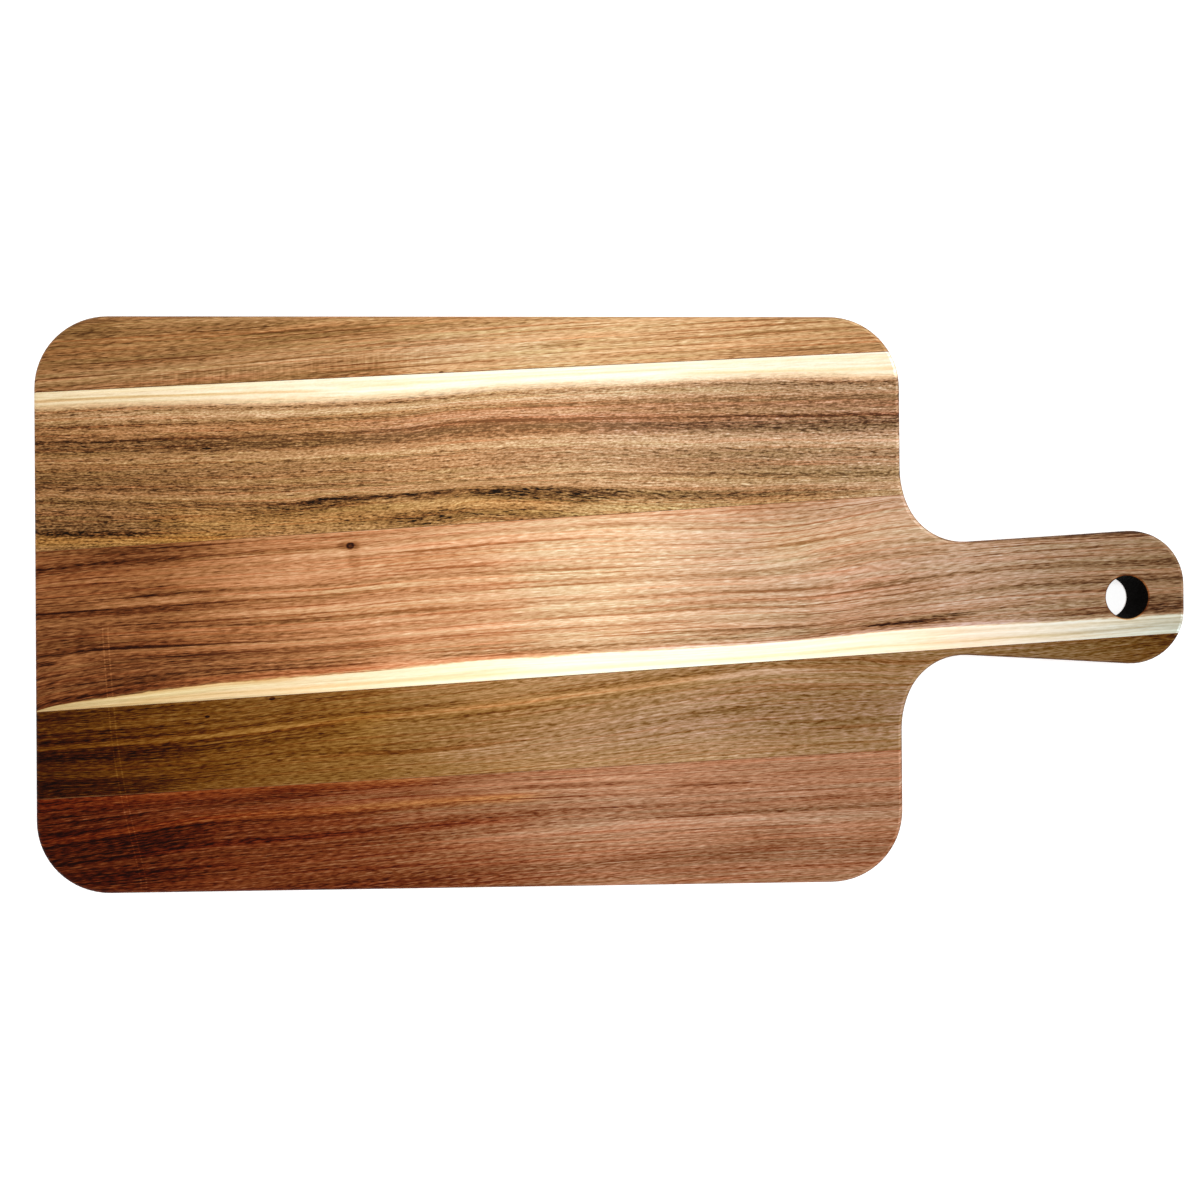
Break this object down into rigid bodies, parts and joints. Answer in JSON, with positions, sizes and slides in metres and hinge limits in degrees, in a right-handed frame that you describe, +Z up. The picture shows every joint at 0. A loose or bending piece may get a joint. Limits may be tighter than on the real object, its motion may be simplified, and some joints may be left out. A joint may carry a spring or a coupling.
{
  "type": "paddle charcuterie board",
  "caption": "Flat wooden paddle serving board, edge-glued from askew staves, with rounded corners, eased edges and a flared handle with a hanging hole.",
  "frame": {"origin": "centre of the board's bounding box in X and Y, on the face it rests on", "axes": "+X along the board towards the handle's end, +Y across the blade towards its upper long edge in the picture, +Z up out of the serving face"},
  "size_m": [0.4, 0.198, 0.015],
  "materials": {
    "golden_tan_wood": "oiled, satin",
    "cream_and_brown_wood": "oiled, satin",
    "pink_brown_wood": "oiled, satin",
    "olive_brown_wood": "oiled, satin",
    "red_brown_wood": "oiled, satin",
    "wood_glue": "cured, matte"
  },
  "bodies": {
    "root": {"stave_1_upper_edge": "golden_tan_wood", "stave_2_upper": "cream_and_brown_wood", "stave_3_handle": "pink_brown_wood", "stave_4_lower": "olive_brown_wood", "stave_5_lower_edge": "red_brown_wood", "glue_line_1_2": "wood_glue", "glue_line_2_3": "wood_glue", "glue_line_3_4": "wood_glue", "glue_line_4_5": "wood_glue"}
  },
  "joints": []
}
